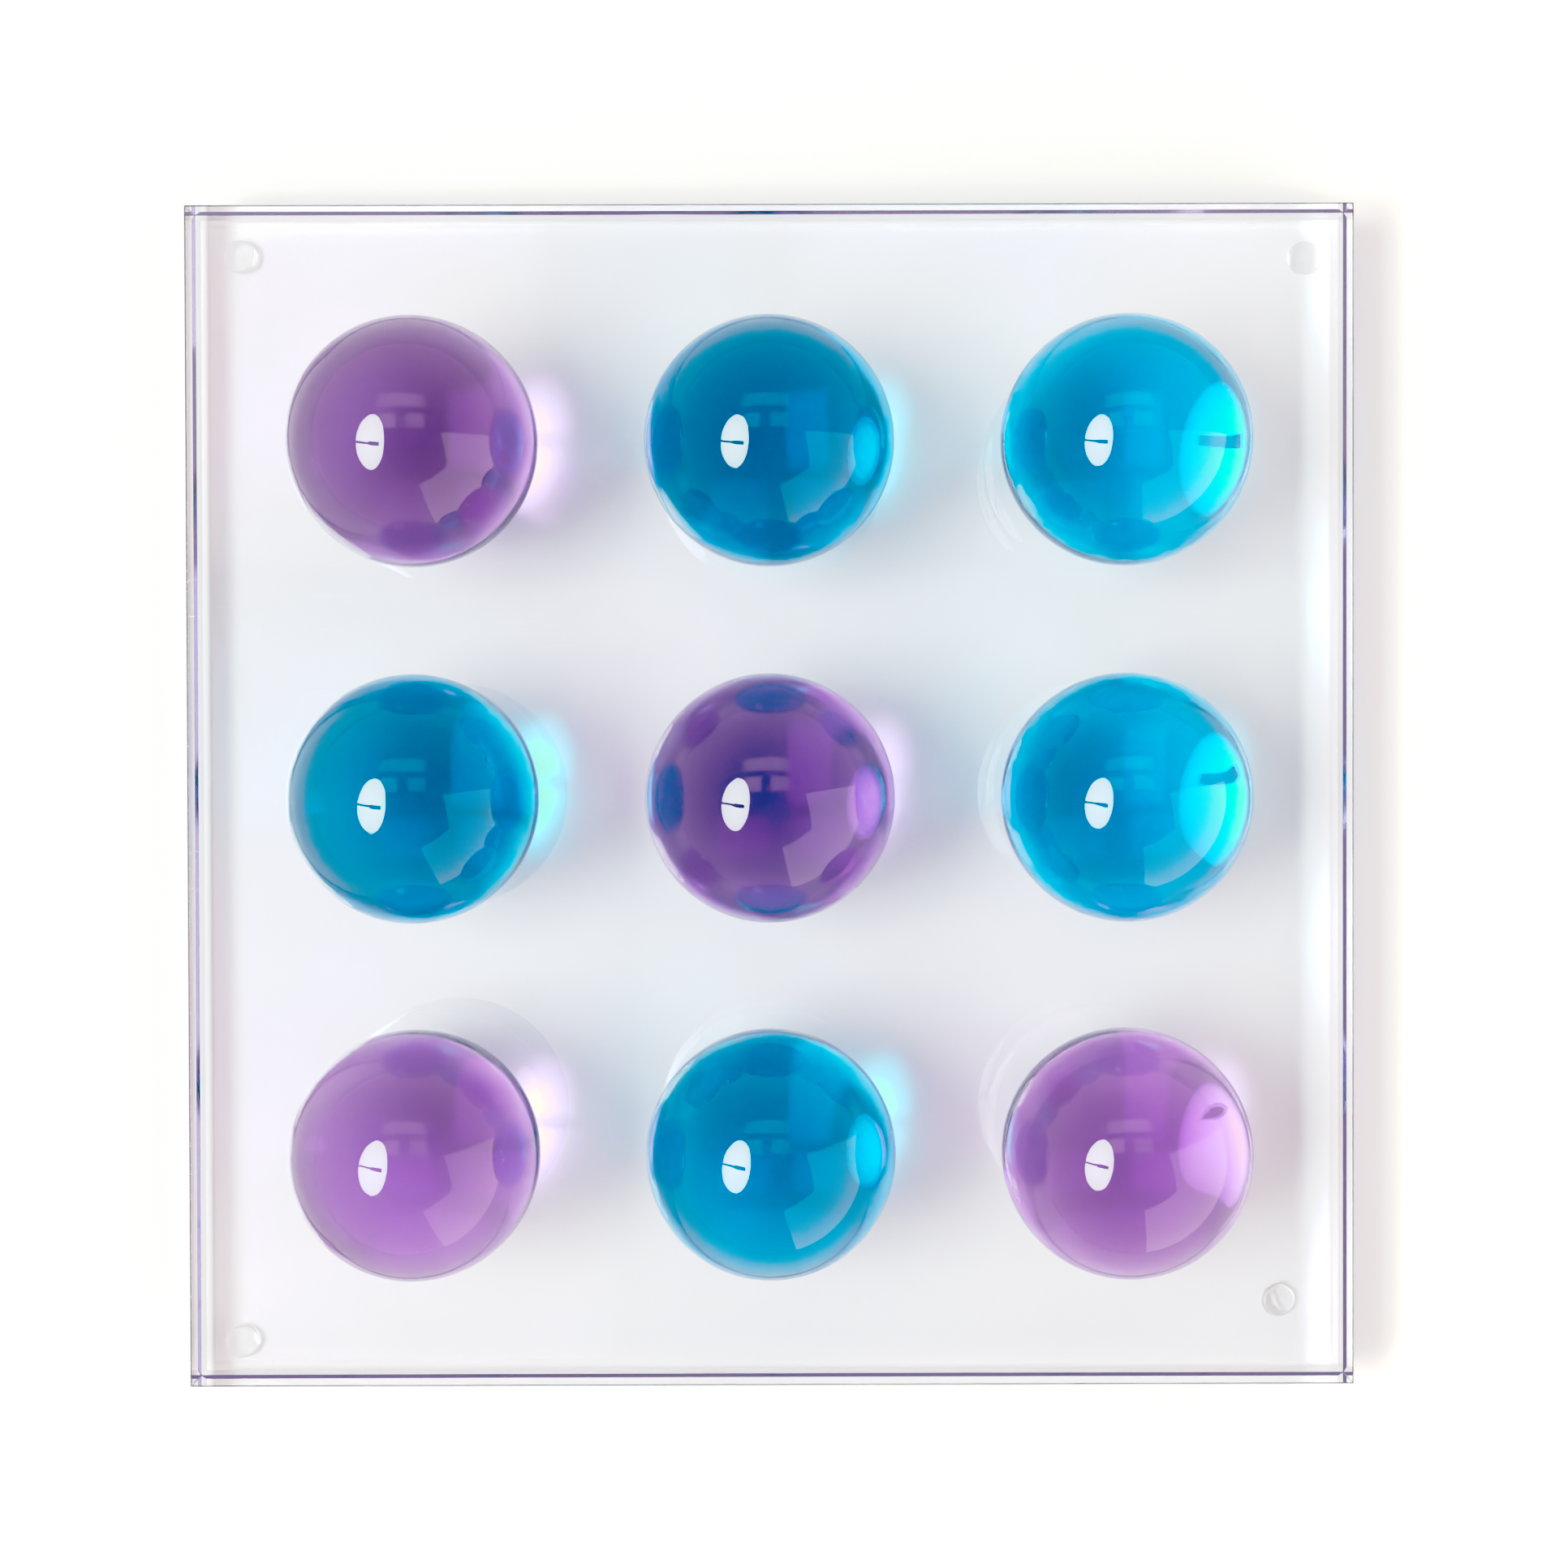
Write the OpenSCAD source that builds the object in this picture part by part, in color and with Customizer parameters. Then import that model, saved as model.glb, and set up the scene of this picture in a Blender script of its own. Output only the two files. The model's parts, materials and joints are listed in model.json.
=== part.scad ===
// Clear acrylic noughts-and-crosses board with nine tinted solid balls.
// Frame: +X right, +Y back, +Z up. The origin is on the table under the board's centre.
// Units are millimetres.

/* [Board] */
// Width of the slab, left to right
board_w = 310; // [290:1:330]
// Depth of the slab, front to back
board_d = 314; // [290:1:330]
// Thickness of the slab
board_t = 20; // [16:0.5:26]
// Bevel polished along every edge of the slab
edge_bevel = 0.9; // [0.2:0.1:1.5]

/* [Balls and dimples] */
// Diameter of a ball
ball_d = 63.5; // [55:0.5:66]
// Distance between neighbouring dimples
pitch = 90.6; // [84:0.2:96]
// Depth of a dimple at its middle
dimple_depth = 6; // [3:0.5:8]
// How much larger the dimple's radius is than the ball's
dimple_extra_r = 0.5; // [0.3:0.1:1.5]
// Gap under a ball at the bottom of its dimple
seat_gap = 0.2; // [0.1:0.05:0.3]

/* [Stick-on feet] */
// Diameter of a foot where it is stuck on
foot_d = 9.5; // [6:0.5:12]
// Height of a foot without its adhesive
foot_h = 2.2; // [1.6:0.1:3]
// Diameter of the flat that a foot stands on
foot_flat_d = 3.5; // [2:0.25:4]
// Thickness of the adhesive disc over a foot
adhesive_t = 0.15; // [0.1:0.05:0.3]
// Diameter of the adhesive disc
adhesive_d = 9; // [5:0.2:11]

/* [Hidden] */
$fn = 128;

// Heights, from the table up
board_z = foot_h + adhesive_t;
top_z = board_z + board_t;
ball_r = ball_d / 2;
ball_z = top_z - dimple_depth + seat_gap + ball_r;
dimple_r = ball_r + dimple_extra_r;
dimple_z = top_z - dimple_depth + dimple_r;

// The feet are stuck on by hand, so each sits at its own distance from its corner: [x, y] inwards
inset_back_left = [12, 11];
inset_back_right = [10.5, 12];
inset_front_left = [11, 9];
inset_front_right = [17.5, 19.5];

// Columns and rows of the grid: -1, 0, 1 from left to right and from front to back
LEFT = -1;
CENTRE = 0;
RIGHT = 1;
FRONT = -1;
MIDDLE = 0;
BACK = 1;

// A foot's side is part of a sphere that passes through its stuck-on rim and the rim of its flat
foot_r = foot_d / 2;
flat_r = foot_flat_d / 2;
foot_centre_z = (foot_r * foot_r + foot_h * foot_h - flat_r * flat_r) / (2 * foot_h);
foot_sphere_r = sqrt(flat_r * flat_r + foot_centre_z * foot_centre_z);

CLEAR = [0.93, 0.94, 0.95, 0.5];
VIOLET = [0.45, 0.25, 0.55, 0.8];
BLUE = [0.0, 0.5, 0.75, 0.8];
FOOT_CLEAR = [0.85, 0.87, 0.88, 0.7];
ADHESIVE_CLEAR = [0.8, 0.82, 0.8, 0.7];

// Outline of a w by h rectangle with a 45 degree bevel at each corner
module bevelled_rectangle(w, h, bevel) {
    x = w / 2;
    y = h / 2;
    polygon([
        [x, y - bevel], [x - bevel, y], [bevel - x, y], [-x, y - bevel],
        [-x, bevel - y], [bevel - x, -y], [x - bevel, -y], [x, bevel - y]
    ]);
}

// Block centred on the origin with every edge bevelled: three bevelled prisms that cross
module bevelled_block(w, d, h, bevel) {
    intersection() {
        linear_extrude(height = h, center = true) bevelled_rectangle(w, d, bevel);
        rotate([90, 0, 0]) linear_extrude(height = d, center = true) bevelled_rectangle(w, h, bevel);
        rotate([90, 0, 90]) linear_extrude(height = w, center = true) bevelled_rectangle(d, h, bevel);
    }
}

// Solid slab with a round dimple at each place of the three by three grid
module board() {
    color(CLEAR) difference() {
        translate([0, 0, board_z + board_t / 2]) bevelled_block(board_w, board_d, board_t, edge_bevel);
        for (column = [LEFT, CENTRE, RIGHT], row = [FRONT, MIDDLE, BACK])
            translate([column * pitch, row * pitch, dimple_z]) sphere(r = dimple_r);
    }
}

// Solid ball over the dimple in this column and row
module ball(column, row) {
    translate([column * pitch, row * pitch, ball_z]) sphere(r = ball_r);
}

module violet_ball(column, row) {
    color(VIOLET) ball(column, row);
}

module blue_ball(column, row) {
    color(BLUE) ball(column, row);
}

// Places a child under one corner of the slab, an inset in from that corner's edges
module under_corner(column, row, inset) {
    translate([column * (board_w / 2 - inset[0]), row * (board_d / 2 - inset[1]), 0]) children();
}

// Soft domed foot: wide where it is stuck on, with a small flat on the table
module foot(column, row, inset) {
    color(FOOT_CLEAR) under_corner(column, row, inset) intersection() {
        translate([0, 0, foot_centre_z]) sphere(r = foot_sphere_r);
        cylinder(r = foot_sphere_r, h = foot_h);
    }
}

// Thin adhesive disc between a foot and the slab's underside
module adhesive(column, row, inset) {
    color(ADHESIVE_CLEAR) under_corner(column, row, inset)
        translate([0, 0, foot_h]) cylinder(d = adhesive_d, h = adhesive_t);
}

board();

violet_ball(LEFT, BACK);  // violet_ball_back_left
blue_ball(CENTRE, BACK);  // blue_ball_back_centre
blue_ball(RIGHT, BACK);  // blue_ball_back_right
blue_ball(LEFT, MIDDLE);  // blue_ball_middle_left
violet_ball(CENTRE, MIDDLE);  // violet_ball_middle_centre
blue_ball(RIGHT, MIDDLE);  // blue_ball_middle_right
violet_ball(LEFT, FRONT);  // violet_ball_front_left
blue_ball(CENTRE, FRONT);  // blue_ball_front_centre
violet_ball(RIGHT, FRONT);  // violet_ball_front_right

foot(LEFT, BACK, inset_back_left);  // foot_back_left
foot(RIGHT, BACK, inset_back_right);  // foot_back_right
foot(LEFT, FRONT, inset_front_left);  // foot_front_left
foot(RIGHT, FRONT, inset_front_right);  // foot_front_right

adhesive(LEFT, BACK, inset_back_left);  // adhesive_back_left
adhesive(RIGHT, BACK, inset_back_right);  // adhesive_back_right
adhesive(LEFT, FRONT, inset_front_left);  // adhesive_front_left
adhesive(RIGHT, FRONT, inset_front_right);  // adhesive_front_right
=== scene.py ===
# %% [markdown]
# # A noughts-and-crosses board with large see-through balls
# The object is a clear acrylic slab with nine round dimples, nine solid tinted balls that lie in
# them, and four clear stick-on feet. Everything is see-through, so the looks come from three
# things: exact smooth shapes, real light paths, and colour that builds up with depth.

# %% Load the fixed frame
import json

import bpy
import numpy as np
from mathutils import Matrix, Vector


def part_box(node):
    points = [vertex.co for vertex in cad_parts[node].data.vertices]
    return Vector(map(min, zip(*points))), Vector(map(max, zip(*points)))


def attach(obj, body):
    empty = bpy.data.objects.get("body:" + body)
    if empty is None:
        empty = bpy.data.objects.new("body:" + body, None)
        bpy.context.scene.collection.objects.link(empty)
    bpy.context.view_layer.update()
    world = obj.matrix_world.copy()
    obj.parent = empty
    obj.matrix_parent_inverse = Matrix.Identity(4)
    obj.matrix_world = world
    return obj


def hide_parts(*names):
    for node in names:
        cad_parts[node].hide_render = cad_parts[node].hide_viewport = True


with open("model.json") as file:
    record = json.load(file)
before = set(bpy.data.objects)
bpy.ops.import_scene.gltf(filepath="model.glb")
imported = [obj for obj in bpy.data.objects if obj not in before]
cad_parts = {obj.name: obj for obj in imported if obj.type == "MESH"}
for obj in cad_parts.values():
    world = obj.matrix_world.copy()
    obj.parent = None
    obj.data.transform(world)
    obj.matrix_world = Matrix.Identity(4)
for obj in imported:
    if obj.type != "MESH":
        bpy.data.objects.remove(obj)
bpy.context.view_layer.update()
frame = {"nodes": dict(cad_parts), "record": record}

# %% [markdown]
# ## Sizes
# Every place is read from the imported model, so the pieces land where the design says.
# The dimples are the one shape that the boxes don't give: a ball stands a hair above the bottom
# of its dimple, and the dimple's radius is half a millimetre larger than the ball's.

# %% Sizes read from the frame
MM = 0.001
SEAT_GAP = 0.2 * MM
DIMPLE_EXTRA_RADIUS = 0.5 * MM

slab_low, slab_high = (np.array(corner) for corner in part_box("board"))
ball_centres = {}
for name in sorted(n for n in frame["nodes"] if "_ball_" in n):
    low, high = (np.array(corner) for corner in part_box(name))
    ball_centres[name] = (low + high) / 2
    ball_radius = (high[2] - low[2]) / 2

dimple_radius = ball_radius + DIMPLE_EXTRA_RADIUS
dimple_bottom = min(c[2] for c in ball_centres.values()) - ball_radius - SEAT_GAP
dimple_depth = slab_high[2] - dimple_bottom
print("slab, mm:", np.round((slab_high - slab_low) * 1000, 2))
print("ball radius and dimple depth, mm:", np.round([ball_radius * 1000, dimple_depth * 1000], 3))

# %% [markdown]
# ## From number grids to a mesh
# A piece starts as an array of points. Points that several patches share are joined by rounding
# them to a ten-thousandth of a millimetre, so the mesh is closed. Each point also carries the
# exact direction of the true surface, set as a custom normal: glass bends light by its normals,
# and an averaged one would ripple.

# %% Helpers that turn grids into an object
WELD = 1e-7


def solid_piece(name, patches):
    """A closed mesh object from patches of (points, faces, normals). Equal points are joined into
    one, and a four-cornered face with two equal corners becomes a triangle."""
    starts = np.cumsum([0] + [len(points) for points, _, _ in patches[:-1]])
    points = np.concatenate([patch[0] for patch in patches])
    faces = np.concatenate([patch[1] + start for patch, start in zip(patches, starts)])
    normals = np.concatenate([patch[2] for patch in patches])
    keys = np.round(points / WELD).astype(np.int64)
    _, first, back = np.unique(keys, axis=0, return_index=True, return_inverse=True)
    joined = back.reshape(-1)[faces]
    doubled = joined == np.roll(joined, -1, axis=1)
    quads = joined[~doubled.any(axis=1)]
    narrow = doubled.sum(axis=1) == 1
    triangles = joined[narrow][~doubled[narrow]].reshape(-1, 3)
    mesh = bpy.data.meshes.new(name)
    mesh.from_pydata(points[first], [], quads.tolist() + triangles.tolist())
    mesh.polygons.foreach_set("use_smooth", np.ones(len(mesh.polygons), dtype=bool))
    mesh.normals_split_custom_set_from_vertices(normals[first])
    mesh.update()
    piece = bpy.data.objects.new(name, mesh)
    bpy.context.scene.collection.objects.link(piece)
    print(f"{name}: {len(mesh.vertices)} points, {len(mesh.polygons)} faces")
    return piece


def grid_faces(rows, columns, wrap=False):
    """Corner indices of the quads between a grid's points, stored row by row. They face outwards
    where (down the rows) x (along a row) points outwards. With wrap, each row closes on itself."""
    r = np.arange(rows - 1)[:, None]
    c = np.arange(columns if wrap else columns - 1)[None, :]
    after = (c + 1) % columns
    here, below = r * columns, (r + 1) * columns
    corners = np.broadcast_arrays(here + c, below + c, below + after, here + after)
    return np.stack(corners, axis=-1).reshape(-1, 4)


# %% [markdown]
# ## Balls
# A cast acrylic ball is a true sphere, ground and polished. A globe grid of latitude lines
# crowds its points at two poles, and the eye finds such a pole at once in clear glass. So the
# ball is a cube blown up to a sphere: six square grids, spread by equal angles, with no poles.

# %% Ball shape
BALL_STEPS = 64


def ball_patches(centre, radius, steps=BALL_STEPS):
    """Six patches of a sphere. On each cube face the grid is (1, tan a, tan b), with a and b from
    -45 to 45 degrees in equal steps, scaled to length 1 and then to the radius."""
    tangent = np.tan(np.linspace(-np.pi / 4, np.pi / 4, steps + 1))
    a, b = np.meshgrid(tangent, tangent, indexing="ij")
    one = np.ones_like(a)
    sides = [(one, a, b), (-one, -a, b), (-a, one, b), (a, -one, b), (-b, a, one), (b, a, -one)]
    patches = []
    for side in sides:
        out = np.stack(side, axis=-1).reshape(-1, 3)
        out /= np.linalg.norm(out, axis=1, keepdims=True)
        patches.append((centre + radius * out, grid_faces(steps + 1, steps + 1), out))
    return patches


balls = {n: solid_piece("polished_" + n, ball_patches(c, ball_radius)) for n, c in ball_centres.items()}

# %% [markdown]
# ## Slab
# The slab is sawn and dimpled, its sides are polished, and its edges are scraped to narrow bevels,
# the lower ones wider. A Bevel modifier could cut them, but glass needs the exact direction of
# every face, so one closed skin is built from three kinds of patch:
# - nine cells of the top face, each a dimple whose rings run out to a rectangle,
# - a band that runs over the upper bevel, down the side and under by the lower bevel,
# - the flat underside.

# %% Slab measures
UPPER_BEVEL = 0.45 * MM
LOWER_BEVEL = 1.2 * MM
ARRIS_ROUND = 0.12 * MM
ARRIS_REACH = ARRIS_ROUND * np.tan(np.pi / 8)
UPRIGHT_ROUND = 0.3 * MM
EDGE_WIDTH = LOWER_BEVEL + ARRIS_REACH
RIM_ROUND = 0.35 * MM
SIDE_POINTS = 24
BOWL_RINGS = 24
RIM_RINGS = 6
FLAT_RINGS = 4
ARRIS_RINGS = 5
CORNER_POINTS = 6
FIRST_SPOKE = -3 * np.pi / 4


def cell_lines(axis):
    """The four grid lines across the slab: its flat's two ends, and halfway between dimples."""
    places = np.unique(np.round([c[axis] for c in ball_centres.values()], 6))
    between = (places[:-1] + places[1:]) / 2
    ends = slab_low[axis] + EDGE_WIDTH, slab_high[axis] - EDGE_WIDTH
    return np.array([ends[0], *between, ends[1]]), places


def spread(lines):
    """Each stretch between neighbouring lines cut into SIDE_POINTS equal steps, ends included."""
    steps = np.arange(SIDE_POINTS) / SIDE_POINTS
    cuts = lines[:-1, None] + np.diff(lines)[:, None] * steps
    return np.append(cuts.reshape(-1), lines[-1])


x_lines, x_places = cell_lines(0)
y_lines, y_places = cell_lines(1)
print("cells across, mm:", np.round(x_lines * 1000, 2), " deep, mm:", np.round(y_lines * 1000, 2))

# %% [markdown]
# A dimple is cut with a ball-nosed tool a little larger than the ball, then its rim is polished.
# Its section is an arc of the big sphere, and a small arc that rolls out onto the flat.

# %% Top cells with dimples


def dimple_section(radius, depth, rim):
    """Distance out, height over the flat, and slope angle along a dimple's section. The small arc
    touches both the sphere and the flat: its centre is rim below the flat and radius + rim from
    the sphere's centre. At slope s the surface faces (-sin s, cos s)."""
    drop = radius - depth + rim
    reach = np.sqrt((radius + rim) ** 2 - drop**2)
    meet = np.arctan2(reach, drop)
    bowl = np.linspace(0, meet, BOWL_RINGS + 1)
    roll = np.linspace(meet, 0, RIM_RINGS + 1)[1:]
    out = np.concatenate([radius * np.sin(bowl), reach - rim * np.sin(roll)])
    up = np.concatenate([radius - depth - radius * np.cos(bowl), rim * np.cos(roll) - rim])
    return out, up, np.concatenate([bowl, roll])


def top_cell(centre, x_steps, y_steps):
    """One cell of the top face: rings of the dimple's section round its centre, then rings that
    blend evenly from the dimple's rim to the rectangle through x_steps and y_steps. Both kinds
    start at FIRST_SPOKE, the front left corner, and go round by way of the front right one."""
    out, up, slope = dimple_section(dimple_radius, dimple_depth, RIM_ROUND)
    around = 4 * SIDE_POINTS
    turn = FIRST_SPOKE + np.arange(around) * 2 * np.pi / around
    spoke = np.stack([np.cos(turn), np.sin(turn)], axis=1)
    side = np.ones(SIDE_POINTS)
    edge_x = [x_steps[:-1], x_steps[-1] * side, x_steps[:0:-1], x_steps[0] * side]
    edge_y = [y_steps[0] * side, y_steps[:-1], y_steps[-1] * side, y_steps[:0:-1]]
    edge = np.stack([np.concatenate(edge_x), np.concatenate(edge_y)], axis=1)
    rings = centre + out[:, None, None] * spoke
    share = (np.arange(1, FLAT_RINGS + 1) / FLAT_RINGS)[:, None, None]
    rings = np.concatenate([rings, rings[-1] * (1 - share) + edge * share])
    level = slab_high[2] + np.append(up, np.zeros(FLAT_RINGS))
    slope = np.append(slope, np.zeros(FLAT_RINGS))
    shape = rings.shape[:2]
    points = np.dstack([rings, np.broadcast_to(level[:, None], shape)]).reshape(-1, 3)
    facing = np.dstack([
        -np.sin(slope)[:, None, None] * spoke,
        np.broadcast_to(np.cos(slope)[:, None], shape),
    ]).reshape(-1, 3)
    return points, grid_faces(len(rings), around, wrap=True), facing


x_steps, y_steps = spread(x_lines), spread(y_lines)
cells = [
    top_cell(
        np.array([x, y]),
        x_steps[i * SIDE_POINTS : (i + 1) * SIDE_POINTS + 1],
        y_steps[j * SIDE_POINTS : (j + 1) * SIDE_POINTS + 1],
    )
    for i, x in enumerate(x_places)
    for j, y in enumerate(y_places)
]
rim_radius = dimple_section(dimple_radius, dimple_depth, RIM_ROUND)[0][-1]
print("dimple rim, mm across:", round(2000 * rim_radius, 2))

# %% [markdown]
# The bevels matter more than their size suggests. Seen from above, the lower one is a violet line:
# its flat 45 degrees turn the sight line sideways, through the slab's whole width and its colour.

# %% Edge band and underside


def edge_section(bevel):
    """Distance out from the flat's outline, depth under the flat and slope angle, from the flat to
    the side. Two small arcs of ARRIS_ROUND join the flat, the 45-degree bevel and the side."""
    first, second = np.radians(np.linspace((0, 45), (45, 90), ARRIS_RINGS)).T
    width = bevel + ARRIS_REACH
    start = EDGE_WIDTH - width
    out = [[0], start + ARRIS_ROUND * np.sin(first), EDGE_WIDTH - ARRIS_ROUND * (1 - np.sin(second))]
    under = [[0], ARRIS_ROUND * (1 - np.cos(first)), width - ARRIS_ROUND * np.cos(second)]
    return np.concatenate(out), np.concatenate(under), np.concatenate([[0], first, second])


def edge_band():
    """The slab's rim: the upper edge's section and then the lower one's, upside down, carried round
    the flat's outline. t is the direction that the side faces, and p is the section's slope. The
    rim faces (sin p cos t, sin p sin t, cos p). At a corner t turns through 90 degrees on a radius
    of UPRIGHT_ROUND, whose centre moves out along the diagonal."""
    ahead = np.arange(CORNER_POINTS + 1) / CORNER_POINTS
    runs = [
        (x_steps[:-1], y_steps[0], -90), (x_steps[-1], y_steps[:-1], 0),
        (x_steps[:0:-1], y_steps[-1], 90), (x_steps[0], y_steps[:0:-1], 180),
    ]
    ends = [(x_steps[-1], y_steps[0]), (x_steps[-1], y_steps[-1]),
            (x_steps[0], y_steps[-1]), (x_steps[0], y_steps[0])]
    outline, turn, lead = [], [], []
    for (x, y, facing), end in zip(runs, ends):
        side = np.stack(np.broadcast_arrays(x, y), axis=1)
        facings = np.radians(np.append(np.full(len(side), float(facing)), facing + 90 * ahead))
        outline += [side, np.tile(end, (len(ahead), 1))]
        turn.append(facings)
        straight = np.stack([np.cos(facings), np.sin(facings)], axis=1)
        straight[len(side) :] = straight[len(side)] + straight[-1]
        lead.append(straight)
    outline, turn, lead = np.concatenate(outline), np.concatenate(turn), np.concatenate(lead)
    out, under, slope = edge_section(UPPER_BEVEL)
    low_out, low_under, low_slope = edge_section(LOWER_BEVEL)
    level = np.append(slab_high[2] - under, slab_low[2] + low_under[::-1])
    out = np.append(out, low_out[::-1])
    slope = np.append(slope, np.pi - low_slope[::-1])
    flat = np.stack([np.cos(turn), np.sin(turn)], axis=1)
    shape = (len(out), len(turn))
    out = out[:, None, None]
    rounded = np.minimum(out, UPRIGHT_ROUND)
    points = np.dstack([
        outline + rounded * flat + (out - rounded) * lead,
        np.broadcast_to(level[:, None], shape),
    ])
    facing = np.dstack([
        np.sin(slope)[:, None, None] * flat,
        np.broadcast_to(np.cos(slope)[:, None], shape),
    ])
    return points.reshape(-1, 3), grid_faces(*shape, wrap=True), facing.reshape(-1, 3)


def underside():
    """The flat bottom, a grid through the same steps as the top's outline, facing down."""
    y, x = np.meshgrid(y_steps, x_steps, indexing="ij")
    points = np.stack([x, y, np.full_like(x, slab_low[2])], axis=-1).reshape(-1, 3)
    return points, grid_faces(len(y_steps), len(x_steps)), np.tile([0.0, 0.0, -1.0], (len(points), 1))


slab = solid_piece("polished_slab", [*cells, edge_band(), underside()])

# %% [markdown]
# The slab has a thin grey outline. What darkens a real bevel isn't known. Here the sides are taken
# to be polished and the bevels frosted by scraping, with their colour darkened as painted shade,
# which gives that look. The mesh carries it as a number at each point, 0 off the bevels, for the
# material to read.

# %% Mark the bevels for frosting and painted shade
ON_FACE = 0.001 * MM
LOWER_MARK = 0.25


def mark_frost_and_painted_shade(piece):
    """A point is on a bevel if it is a little way in from two of the block's faces, and on none.
    The lower bevels get the weaker LOWER_MARK: less frosting and a lighter painted shade."""
    places = np.empty(3 * len(piece.data.vertices), dtype=np.float32)
    piece.data.vertices.foreach_get("co", places)
    places = places.reshape(-1, 3)
    inward = np.sort(np.minimum(places - slab_low, slab_high - places), axis=1)
    frost_and_painted_shade = (inward[:, 0] > ON_FACE) & (inward[:, 1] < EDGE_WIDTH - ON_FACE)
    lower = places[:, 2] < slab_low[2] + EDGE_WIDTH
    # This mark drives the bevels' frosting and the painted shade of the slab's dark outline.
    marks = piece.data.attributes.new("frost_and_painted_shade", "FLOAT", "POINT")
    marks.data.foreach_set("value", (frost_and_painted_shade * np.where(lower, LOWER_MARK, 1.0)).astype(np.float32))
    print("points on the bevels:", int(frost_and_painted_shade.sum()), "of", len(frost_and_painted_shade))


mark_frost_and_painted_shade(slab)

# %% [markdown]
# ## Feet
# The feet are small domes of clear soft urethane, poured onto a sticky backing. Each is a profile
# turned round an upright axis. The backing doesn't wet the slab fully, so a film of air stays
# between the two, and that film is what makes a foot show as a pale disc from above.

# %% Turned shapes
AROUND = 64
FOOT_LIP = 0.25 * MM
FOOT_FLAT_SHARE = 3.5 / 9.5
AIR_FILM = 0.02 * MM
LIP_TURN = 60
LIP_TO_SIDE = 6
LIP_POINTS = 5
SIDE_BULGE_POINTS = 18
ADHESIVE_POINTS = 9


def arc(centre_out, centre_up, radius, start, stop, count):
    """Points and facings along an arc in the section plane, by angle from straight up, clockwise."""
    angle = np.radians(np.linspace(start, stop, count))
    facing = np.stack([np.sin(angle), np.cos(angle)], axis=1)
    return np.array([centre_out, centre_up]) + radius * facing, facing


def turned(centre, section):
    """A closed patch: the section's (out, up) points carried round an upright axis at centre."""
    points, facing = (np.concatenate(part) for part in zip(*section))
    turn = np.arange(AROUND) * 2 * np.pi / AROUND
    spoke = np.stack([np.cos(turn), np.sin(turn)], axis=1)

    def carry(pairs):
        flat = pairs[:, :1, None].transpose(0, 2, 1) * spoke
        return np.dstack([flat, np.broadcast_to(pairs[:, 1:], flat.shape[:2])]).reshape(-1, 3)

    place = np.array([centre[0], centre[1], 0.0])
    return place + carry(points), grid_faces(len(points), AROUND, wrap=True), carry(facing)


def axis_point(up, facing_up):
    """The section's first or last point, on the axis."""
    return np.array([[0.0, up]]), np.array([[0.0, facing_up]])


def foot_patch(low, high):
    """A dome: a flat top with a small rolled lip, a side that bulges from it in one arc, and a
    flat to stand on. The bulge is a circle through the lip's end and the flat's rim."""
    radius, height = (high[0] - low[0]) / 2, high[2] - low[2]
    flat_radius = radius * FOOT_FLAT_SHARE
    centre_up = (radius**2 + height**2 - flat_radius**2) / (2 * height)
    bulge = np.hypot(flat_radius, centre_up)
    at_top = np.degrees(np.arccos((height - centre_up) / bulge))
    at_flat = 180 - np.degrees(np.arcsin(flat_radius / bulge))
    lip_centre = radius - FOOT_LIP - FOOT_LIP
    section = [
        axis_point(high[2], 1.0),
        arc(lip_centre, high[2] - FOOT_LIP, FOOT_LIP, 0, LIP_TURN, LIP_POINTS),
        arc(0, low[2] + centre_up, bulge, at_top + LIP_TO_SIDE, at_flat, SIDE_BULGE_POINTS),
        axis_point(low[2], -1.0),
    ]
    return turned((low + high) / 2, section)


def adhesive_patch(low, high):
    """A thin disc with a half-round edge, a film of air below the slab."""
    radius, top = (high[0] - low[0]) / 2, high[2] - AIR_FILM
    half = (top - low[2] - AIR_FILM) / 2
    section = [
        axis_point(top, 1.0),
        arc(radius - half, top - half, half, 0, 180, ADHESIVE_POINTS),
        axis_point(top - 2 * half, -1.0),
    ]
    return turned((low + high) / 2, section)


feet, adhesives = {}, {}
for name in sorted(frame["nodes"]):
    corners = [np.array(corner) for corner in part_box(name)]
    if name.startswith("foot_"):
        feet[name] = solid_piece("domed_" + name, [foot_patch(*corners)])
    if name.startswith("adhesive_"):
        adhesives[name] = solid_piece("sticky_" + name, [adhesive_patch(*corners)])

# %% [markdown]
# ## Wear that every polished surface shares
# Even a clean set has been picked up and set down. One node group gives all the pieces the same
# three marks at their own strengths: cloudy finger smudges that only change the roughness, hairline
# wiping scratches, and sparse specks of dust. It puts out numbers, and each material uses them.

# %% Node helpers
def add(tree, kind, **values):
    """A new node in tree. Values name its settings or, with underscores for spaces, its inputs."""
    node = tree.nodes.new(kind)
    for key, value in values.items():
        if hasattr(node, key):
            setattr(node, key, value)
        else:
            node.inputs[key.replace("_", " ")].default_value = value
    return node


def calculate(tree, operation, first, second=None, third=None):
    """A Math node. Each operand is a number or another node's output."""
    node = tree.nodes.new("ShaderNodeMath")
    node.operation = operation
    for socket, value in zip(node.inputs, (first, second, third)):
        if value is None:
            continue
        if isinstance(value, (int, float)):
            socket.default_value = value
        else:
            tree.links.new(value, socket)
    return node.outputs[0]


WEAR_INPUTS = (("Base Roughness", 0.0), ("Smudge", 0.02), ("Scratch", 1.0), ("Dust", 0.3))
SMUDGES_PER_METRE = 38.0
HAIRLINE_TURN = (0.3, 0.2, 0.6)
HAIRLINES_PER_METRE = (30.0, 900.0, 250.0)
SPECKS_PER_METRE = 260.0
SPECK_RADIUS = 0.045
SPECK_CHOICE = 0.95


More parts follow.
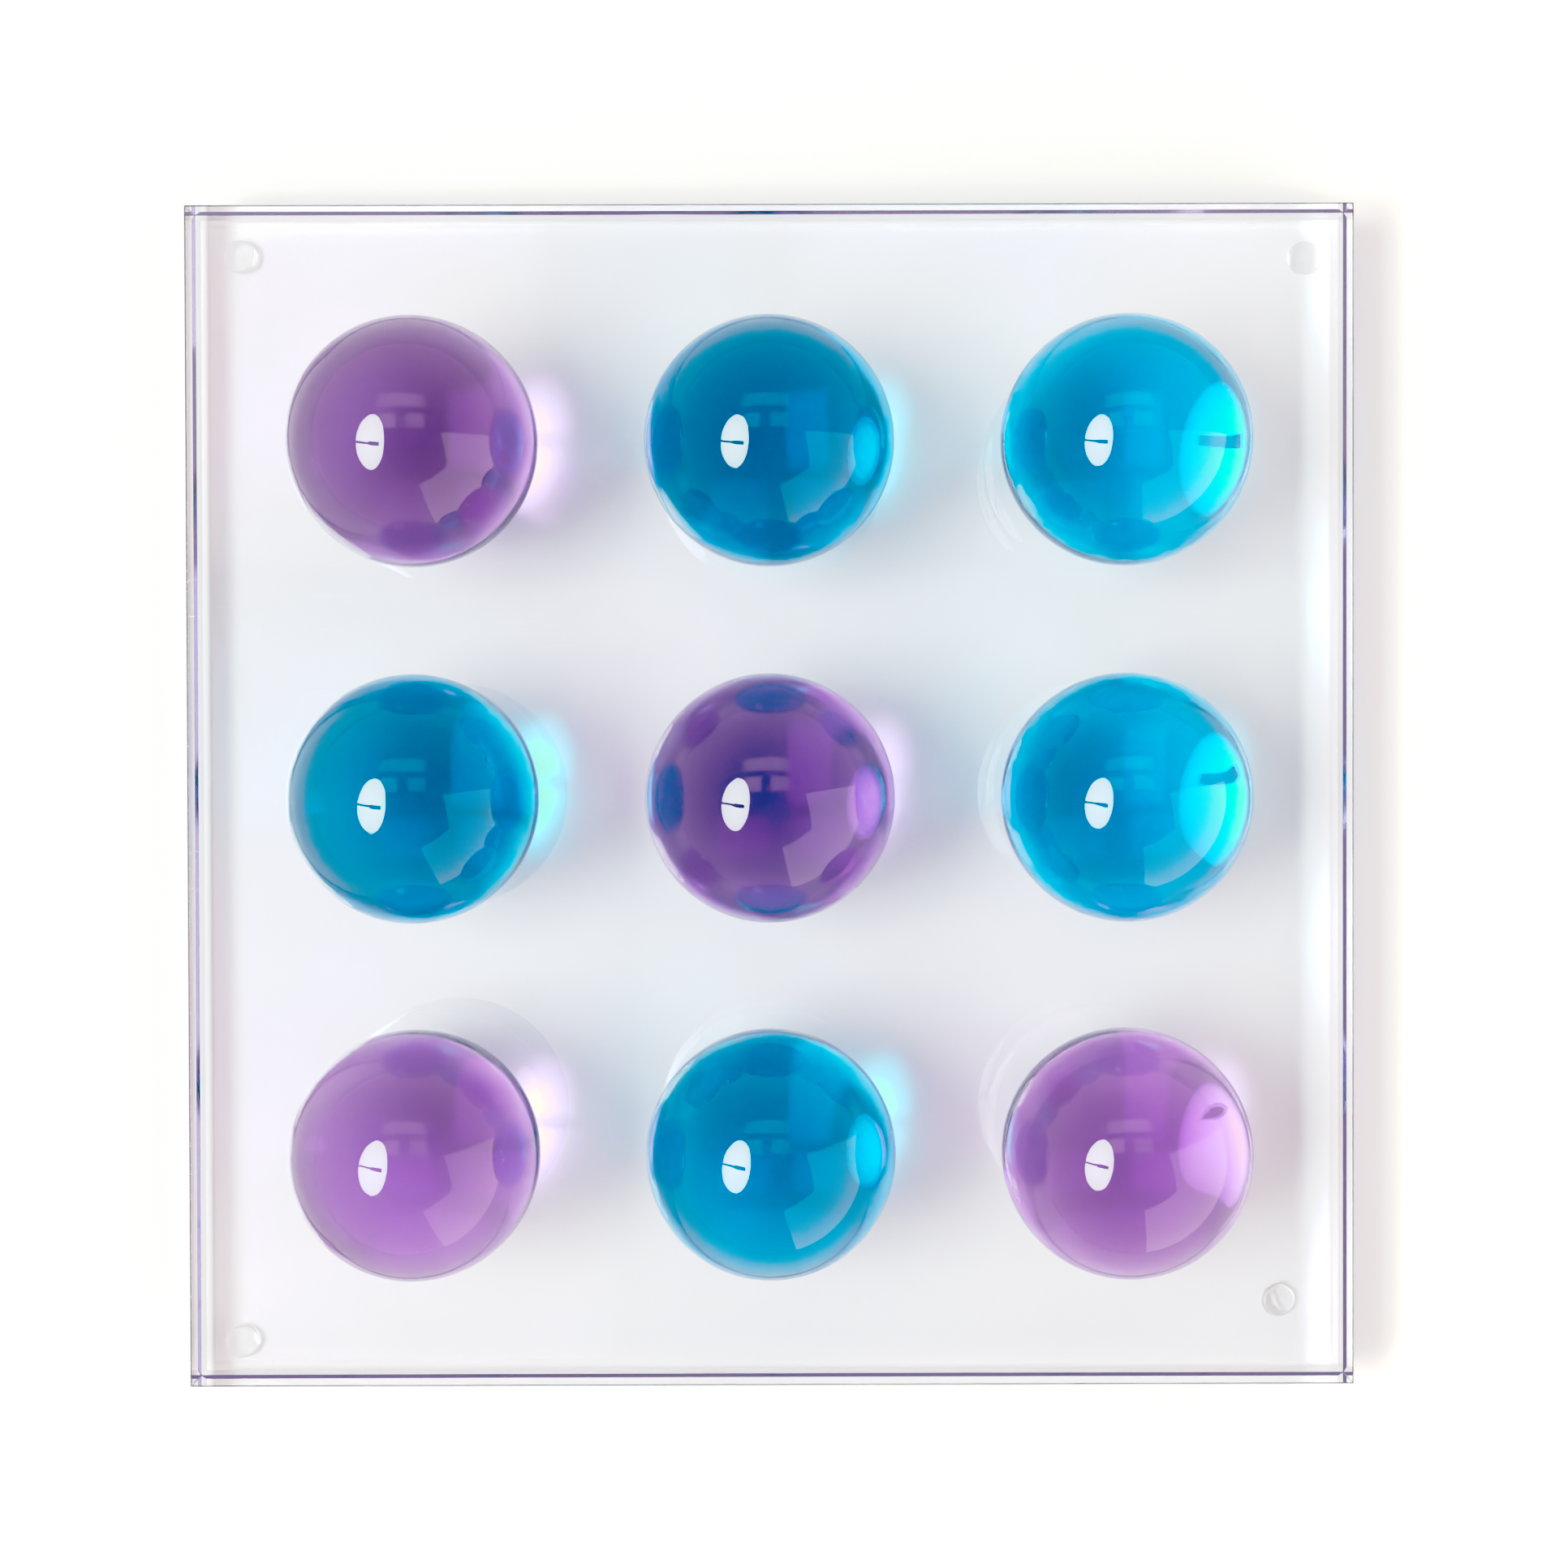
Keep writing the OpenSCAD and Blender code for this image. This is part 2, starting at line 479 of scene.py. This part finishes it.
def polish_wear_group():
    """Node group: Smudge, Scratch and Dust strengths in; Roughness and Height out."""
    group = bpy.data.node_groups.new("Polish wear", "ShaderNodeTree")
    for label, default in WEAR_INPUTS:
        socket = group.interface.new_socket(label, in_out="INPUT", socket_type="NodeSocketFloat")
        socket.default_value = default
    for label in ("Roughness", "Height"):
        group.interface.new_socket(label, in_out="OUTPUT", socket_type="NodeSocketFloat")
    given = group.nodes.new("NodeGroupInput")
    put_out = group.nodes.new("NodeGroupOutput")
    place = group.nodes.new("ShaderNodeTexCoord").outputs["Object"]

    cloud = add(group, "ShaderNodeTexNoise", Scale=SMUDGES_PER_METRE, Detail=3.0, Roughness=0.6)
    group.links.new(place, cloud.inputs["Vector"])
    smudge = add(group, "ShaderNodeMapRange", From_Min=0.52, From_Max=0.75)
    group.links.new(cloud.outputs["Fac"], smudge.inputs["Value"])

    streak_place = add(group, "ShaderNodeMapping", Rotation=HAIRLINE_TURN, Scale=HAIRLINES_PER_METRE)
    group.links.new(place, streak_place.inputs["Vector"])
    streak = add(group, "ShaderNodeTexNoise", Scale=1.0, Detail=1.0)
    group.links.new(streak_place.outputs[0], streak.inputs["Vector"])
    hairline = add(group, "ShaderNodeMapRange", From_Min=0.70, From_Max=0.78)
    group.links.new(streak.outputs["Fac"], hairline.inputs["Value"])

    speck = add(group, "ShaderNodeTexVoronoi", Scale=SPECKS_PER_METRE, Randomness=1.0)
    group.links.new(place, speck.inputs["Vector"])
    chosen = add(group, "ShaderNodeSeparateColor")
    group.links.new(speck.outputs["Color"], chosen.inputs[0])
    near = calculate(group, "LESS_THAN", speck.outputs["Distance"], SPECK_RADIUS)
    picked = calculate(group, "GREATER_THAN", chosen.outputs[0], SPECK_CHOICE)
    dust = calculate(group, "MULTIPLY", near, picked)

    rough = calculate(group, "MULTIPLY_ADD", smudge.outputs[0], given.outputs["Smudge"],
                      given.outputs["Base Roughness"])
    rough = calculate(group, "MULTIPLY_ADD", dust, given.outputs["Dust"], rough)
    height = calculate(group, "MULTIPLY", hairline.outputs[0], given.outputs["Scratch"])
    height = calculate(group, "MULTIPLY_ADD", dust, given.outputs["Dust"], height)
    group.links.new(rough, put_out.inputs["Roughness"])
    group.links.new(height, put_out.inputs["Height"])
    return group


polish_wear = polish_wear_group()
print("node group:", polish_wear.name, [s.name for s in polish_wear.interface.items_tree])

# %% [markdown]
# ## Clear and tinted acrylic
# Colour in a solid acrylic ball is in its body, not on its skin: the longer the light's way
# through, the deeper the colour. A Volume Absorption node does this. It is set by how much red,
# green and blue pass through a known depth. These shares were fitted to the look, under the lights
# and the film curve below, and not measured on a sample.

# %% See-through materials
ACRYLIC_IOR = 1.49
URETHANE_IOR = 1.5
# Near-black painted shade for the slab's bevels, which draws its dark outline.
BEVEL_PAINTED_SHADE = (0.05, 0.05, 0.055, 1.0)
CLEAREST = (1.0, 1.0, 1.0, 1.0)
HAZIEST = (0.985, 0.985, 0.985, 1.0)
HAZE_PER_METRE = 14.0
BUMP_STRENGTH = 0.12
BUMP_DEPTH = 0.02 * MM


def absorption(passed, depth):
    """Colour and density for a Volume Absorption node, from the share of red, green and blue that
    a sample of that depth passes. Each coefficient is -ln(share) / depth, and the node takes
    density times one minus colour."""
    coefficients = -np.log(np.array(passed)) / depth
    density = float(coefficients.max())
    return (*(1 - coefficients / density), 1.0), density


def see_through(name, passed, depth, ior=ACRYLIC_IOR, rough=0.0, smudge=0.02, scratch=1.0, dust=0.25,
                frost_and_painted_shade=0.0):
    """A clear material with a polished skin that carries wear, and colour in its depth. Where the
    piece's bevel mark is 1, the roughness rises by the amount given for the bevels, and the colour darkens to
    a near-black: painted shade that draws the slab's dark outline."""
    material = bpy.data.materials.new(name)
    material.use_nodes = True
    tree = material.node_tree
    surface = tree.nodes["Principled BSDF"]
    surface.inputs["IOR"].default_value = ior
    surface.inputs["Transmission Weight"].default_value = 1.0
    wear = add(tree, "ShaderNodeGroup", node_tree=polish_wear)
    for label, value in (("Base Roughness", rough), ("Smudge", smudge), ("Scratch", scratch), ("Dust", dust)):
        wear.inputs[label].default_value = value
    tree.links.new(wear.outputs["Roughness"], surface.inputs["Roughness"])
    bump = add(tree, "ShaderNodeBump", Strength=BUMP_STRENGTH, Distance=BUMP_DEPTH)
    tree.links.new(wear.outputs["Height"], bump.inputs["Height"])
    tree.links.new(bump.outputs[0], surface.inputs["Normal"])
    haze = add(tree, "ShaderNodeTexNoise", Scale=HAZE_PER_METRE, Detail=2.0)
    tree.links.new(add(tree, "ShaderNodeTexCoord").outputs["Object"], haze.inputs["Vector"])
    tone = tree.nodes.new("ShaderNodeMix")
    tone.data_type = "RGBA"
    tone.inputs["A"].default_value = CLEAREST
    tone.inputs["B"].default_value = HAZIEST
    tree.links.new(haze.outputs["Fac"], tone.inputs["Factor"])
    tree.links.new(tone.outputs["Result"], surface.inputs["Base Color"])
    if frost_and_painted_shade:
        mark = add(tree, "ShaderNodeAttribute", attribute_name="frost_and_painted_shade").outputs["Fac"]
        frosted = calculate(tree, "MULTIPLY_ADD", mark, frost_and_painted_shade, rough)
        tree.links.new(frosted, wear.inputs["Base Roughness"])
        # Painted shade: the bevels' colour darkens towards a near-black, drawing the slab's dark outline.
        painted_outline_shade = tree.nodes.new("ShaderNodeMix")
        painted_outline_shade.data_type = "RGBA"
        painted_outline_shade.inputs["B"].default_value = BEVEL_PAINTED_SHADE
        tree.links.new(mark, painted_outline_shade.inputs["Factor"])
        tree.links.new(tone.outputs["Result"], painted_outline_shade.inputs["A"])
        tree.links.new(painted_outline_shade.outputs["Result"], surface.inputs["Base Color"])
    colour, density = absorption(passed, depth)
    body = add(tree, "ShaderNodeVolumeAbsorption", Color=colour, Density=density)
    tree.links.new(body.outputs[0], tree.nodes["Material Output"].inputs["Volume"])
    print(f"{name}: passes {passed} through {depth * 1000:.4g} mm, density {density:.1f} per metre")
    return material


SHEET_SPAN = 300 * MM
FOOT_DEPTH = 4 * MM
ADHESIVE_DEPTH = 0.15 * MM
clear_acrylic = see_through(
    "clear_acrylic", (0.21, 0.20, 0.34), SHEET_SPAN, smudge=0.0, dust=0.2, frost_and_painted_shade=0.2
)
violet_acrylic = see_through("violet_acrylic", (0.47, 0.26, 0.65), 2 * ball_radius)
blue_acrylic = see_through("blue_acrylic", (0.003, 0.505, 0.82), 2 * ball_radius)
clear_urethane = see_through(
    "clear_urethane", (0.97, 0.975, 0.975), FOOT_DEPTH, ior=URETHANE_IOR,
    rough=0.12, smudge=0.1, scratch=0.3,
)
clear_adhesive = see_through(
    "clear_adhesive", (0.98, 0.98, 0.975), ADHESIVE_DEPTH, ior=URETHANE_IOR,
    rough=0.3, smudge=0.25, scratch=0.0,
)

# %% [markdown]
# ## Hand the pieces to their bodies
# Each ball rides on its own body, because it lifts out of its dimple. The feet and their
# adhesive stay with the slab.

# %% Bodies, slots and materials
body_of_node = {n: body for body, nodes in frame["record"]["behaviour"]["bodies"].items() for n in nodes}
slot_of_node = {part["node"]: part["material_slot"] for part in frame["record"]["subparts"]}
material_of_slot = {
    "clear_acrylic": clear_acrylic, "violet_acrylic": violet_acrylic, "blue_acrylic": blue_acrylic,
    "clear_urethane": clear_urethane, "clear_adhesive": clear_adhesive,
}
for node, piece in {"board": slab, **balls, **feet, **adhesives}.items():
    piece.data.materials.append(material_of_slot[slot_of_node[node]])
    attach(piece, body_of_node[node])
    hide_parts(node)

# %% [markdown]
# ## Floor, light and camera
# A white sheet lies under the board. The light that reaches it through the balls and the slab, and
# comes back up, is what makes see-through things look right.

# %% Floor
FLOOR_SIZE = 6.0
FLOOR_GAP = 0.03 * MM
PAPER = (0.86, 0.86, 0.86, 1.0)

floor_mesh = bpy.data.meshes.new("floor")
edge = FLOOR_SIZE / 2
corners = [(-edge, -edge), (edge, -edge), (edge, edge), (-edge, edge)]
floor_mesh.from_pydata([(x, y, -FLOOR_GAP) for x, y in corners], [], [(0, 1, 2, 3)])
floor = bpy.data.objects.new("floor", floor_mesh)
bpy.context.scene.collection.objects.link(floor)
paper = bpy.data.materials.new("white_paper")
paper.use_nodes = True
matt = paper.node_tree.nodes["Principled BSDF"]
matt.inputs["Base Color"].default_value = PAPER
matt.inputs["Roughness"].default_value = 1.0
matt.inputs["Specular IOR Level"].default_value = 0.0
floor_mesh.materials.append(paper)
print("floor, m:", FLOOR_SIZE)

# %% [markdown]
# The key light is a tall oval softbox on the left, with its arm across it. It is made twice,
# because a light can be hidden from one kind of ray: the first lights the board and shines
# through the balls, and the second is only mirrored in polished faces. A real lamp can't do that.
# It gives the highlights their own size. Panes overhead and pale boards to the right stand in for
# the room, and the pane called ceiling isn't mirrored either.

# %% Lights
BOARD_MIDDLE = (0.0, 0.0, 0.05)
ROOM_TONE = (1.0, 0.90, 0.85)
ALL_RAYS = ("diffuse", "glossy", "transmission")


def panel(name, place, aim, size, radiance, shape="RECTANGLE", seen_by=ALL_RAYS):
    """A flat area light of that radiance, its width level and its face towards aim. Only the kinds
    of ray in seen_by meet it."""
    data = bpy.data.lights.new(name, "AREA")
    data.shape = shape
    data.size, data.size_y = size
    area = size[0] * size[1] * (np.pi / 4 if shape == "ELLIPSE" else 1.0)
    data.energy = radiance * area * np.pi
    data.color = ROOM_TONE
    light = bpy.data.objects.new(name, data)
    light.location = place
    light.rotation_euler = (Vector(aim) - Vector(place)).to_track_quat("-Z", "Y").to_euler()
    light.visible_camera = False
    for ray in ALL_RAYS:
        setattr(light, "visible_" + ray, ray in seen_by)
    bpy.context.scene.collection.objects.link(light)
    return light


def lamp_places(light):
    """The lamp's node tree, and where on the lamp a ray leaves: u across its width and v across
    its height, both from -1 to 1."""
    light.data.use_nodes = True
    tree = light.data.node_tree
    across = add(tree, "ShaderNodeSeparateXYZ")
    tree.links.new(tree.nodes.new("ShaderNodeNewGeometry").outputs["Parametric"], across.inputs[0])
    u, v = (calculate(tree, "MULTIPLY_ADD", side, 2.0, -1.0) for side in across.outputs[:2])
    return tree, u, v


# %% Softbox
SOFTBOX_COLOUR = (0.88, 1.0, 0.95)
SOFTBOX_TURN = np.radians(-17)
ARM_PLACE = 0.03
ARM_HALF = 0.035
HEAD_HALF = 0.07
HEAD_START = -0.1
PAST_EDGE = -1.1


def dress_softbox(light, falloff, head_end):
    """Its brightness is 1 - falloff (u^2 + v^2). The arm is a thin dark line from the outer side
    to the middle, and ends in a thicker head from HEAD_START to head_end."""
    light.data.color = SOFTBOX_COLOUR
    light.rotation_euler.rotate_axis("Z", SOFTBOX_TURN)
    tree, u, v = lamp_places(light)
    square = calculate(tree, "ADD", calculate(tree, "MULTIPLY", u, u), calculate(tree, "MULTIPLY", v, v))
    glow = calculate(tree, "MULTIPLY_ADD", square, -falloff, 1.0)
    parts = []
    for half, start, stop in ((ARM_HALF, PAST_EDGE, 0.0), (HEAD_HALF, HEAD_START, head_end)):
        level = calculate(tree, "COMPARE", u, ARM_PLACE, half)
        within = calculate(tree, "COMPARE", v, (start + stop) / 2, (stop - start) / 2)
        parts.append(calculate(tree, "MULTIPLY", level, within))
    open_part = calculate(tree, "SUBTRACT", 1.0, calculate(tree, "MAXIMUM", *parts))
    tree.links.new(calculate(tree, "MULTIPLY", glow, open_part), tree.nodes["Emission"].inputs["Strength"])


for name, place, size, radiance, falloff, head_end, seen_by in (
    ("softbox", (-1.415, -0.13, 2.133), (2.0, 0.88), 34.0, 0.82, 0.54, ("diffuse", "transmission")),
    ("softbox_mirrored", (-1.30, -0.21, 2.21), (2.14, 1.16), 28.0, 0.3, 0.65, ("glossy",)),
):
    softbox = panel(name, place, BOARD_MIDDLE, size, radiance, "ELLIPSE", seen_by)
    dress_softbox(softbox, falloff, head_end)
    print(name, "power, W:", round(softbox.data.energy))

# %% Panes and boards
SKY_HIGH = 2.4
WALL_HIGH = 1.7
WALL_RADIANCE = 2.3
WALL_GAP = 0.02
EDGE_POWER = 6.0


def soften_edges(light):
    """Brightness (1 - |u|^EDGE_POWER)(1 - |v|^EDGE_POWER), so that a mirrored pane has no hard edge."""
    tree, u, v = lamp_places(light)
    fades = []
    for side in (u, v):
        towards_edge = calculate(tree, "POWER", calculate(tree, "ABSOLUTE", side), EDGE_POWER)
        fades.append(calculate(tree, "SUBTRACT", 1.0, towards_edge))
    tree.links.new(calculate(tree, "MULTIPLY", *fades), tree.nodes["Emission"].inputs["Strength"])


for name, left, right, front, back, radiance, seen_by in (
    ("pane_left", -1.03, -0.29, 0.25, 0.90, 2.3, ALL_RAYS),
    ("pane_right", 0.0, 0.80, 0.27, 0.90, 1.8, ALL_RAYS),
    ("pane_back", -1.26, 0.90, 1.10, 1.87, 2.0, ALL_RAYS),
    ("ceiling", -0.85, -0.20, -1.00, 0.20, 3.8, ("diffuse", "transmission")),
):
    middle = Vector(((left + right) / 2, (front + back) / 2, SKY_HIGH))
    size = (right - left, back - front)
    soften_edges(panel(name, middle, middle - Vector((0, 0, 1)), size, radiance, seen_by=seen_by))

for name, start, stop in (
    ("board_right", (1.02, 0.15), (1.45, -1.05)),
    ("board_front", (1.45, -1.05), (0.40, -1.65)),
):
    start, stop = Vector((*start, WALL_HIGH / 2)), Vector((*stop, WALL_HIGH / 2))
    along = stop - start
    middle = (start + stop) / 2
    inward = Vector((along.y, -along.x, 0))
    panel(name, middle, middle + inward, (along.length, WALL_HIGH - WALL_GAP), WALL_RADIANCE)

# %% [markdown]
# The world is the rest of the room: bright near the floor and dim overhead. Only the camera sees a
# plain pale backdrop, so the render's background stays even.

# %% World
BY_THE_FLOOR = (2.02, 1.74, 1.60, 1.0)
OVERHEAD = (0.27, 0.25, 0.23, 1.0)
BACKDROP = (1.7, 1.7, 1.7, 1.0)

world = bpy.data.worlds.new("studio")
bpy.context.scene.world = world
world.use_nodes = True
sky = world.node_tree
background = sky.nodes["Background"]
rays = add(sky, "ShaderNodeLightPath")
height = add(sky, "ShaderNodeSeparateXYZ")
sky.links.new(sky.nodes.new("ShaderNodeTexCoord").outputs["Generated"], height.inputs[0])
room = sky.nodes.new("ShaderNodeMix")
room.data_type = "RGBA"
room.inputs["A"].default_value = BY_THE_FLOOR
room.inputs["B"].default_value = OVERHEAD
sky.links.new(height.outputs["Z"], room.inputs["Factor"])
shade = sky.nodes.new("ShaderNodeMix")
shade.data_type = "RGBA"
shade.inputs["B"].default_value = BACKDROP
sky.links.new(room.outputs["Result"], shade.inputs["A"])
sky.links.new(rays.outputs["Is Camera Ray"], shade.inputs["Factor"])
sky.links.new(shade.outputs["Result"], background.inputs["Color"])
print("world nodes:", len(sky.nodes))

# %% [markdown]
# The camera looks almost straight down. Its film curve was fitted by measuring, not worked out: it
# has a soft toe and shoulder, and a longer toe in the red, which takes the last red out of a deep
# cyan. It belongs to the picture and not to the materials. Light paths are long enough for a ball
# and the slab, and nothing is clamped, so the light under a ball isn't cut off.

# %% Camera
CAMERA_PLACE = Vector((3.1 * MM, 10.2 * MM, slab_high[2] + 616.4 * MM))
CAMERA_TURN = (-0.0113, -0.0008, -0.0027)
CAMERA_LENS = 53.3

camera_data = bpy.data.cameras.new("camera")
camera_data.sensor_width = 36
camera_data.lens = CAMERA_LENS
camera = bpy.data.objects.new("camera", camera_data)
camera.location = CAMERA_PLACE
camera.rotation_euler = CAMERA_TURN
scene = bpy.context.scene
scene.collection.objects.link(camera)
scene.camera = camera
print("camera height over the slab, mm:", round((CAMERA_PLACE.z - slab_high[2]) * 1000, 1))

# %% Film curve and light paths
BRIGHTEST = 2.0
FILM_CURVE = (
    (0.03, 0.0), (0.08, 0.02), (0.15, 0.08), (0.24, 0.165), (0.40, 0.33), (0.60, 0.52), (0.80, 0.66),
    (1.0, 0.76), (1.25, 0.85), (1.45, 0.91), (1.6, 0.99),
)
RED_TOE = ((0.15, 0.04), (0.195, 0.175), (0.25, 0.25), (0.32, 0.32))
ALL_CHANNELS = 3
RED_CHANNEL = 0

scene.view_settings.view_transform = "Standard"
scene.view_settings.use_curve_mapping = True
tones = scene.view_settings.curve_mapping
tones.white_level = (BRIGHTEST, BRIGHTEST, BRIGHTEST)
for light_in, light_out in FILM_CURVE:
    tones.curves[ALL_CHANNELS].points.new(light_in / BRIGHTEST, light_out)
for light_in, light_out in RED_TOE:
    tones.curves[RED_CHANNEL].points.new(light_in / BRIGHTEST, light_out / BRIGHTEST)
tones.update()
scene.cycles.max_bounces = 24
scene.cycles.transmission_bounces = 24
scene.cycles.glossy_bounces = 12
scene.cycles.diffuse_bounces = 6
scene.cycles.blur_glossy = 0.0
scene.cycles.sample_clamp_indirect = 0.0
scene.cycles.caustics_reflective = True
scene.cycles.caustics_refractive = True
print("light paths:", scene.cycles.max_bounces, "bounces")
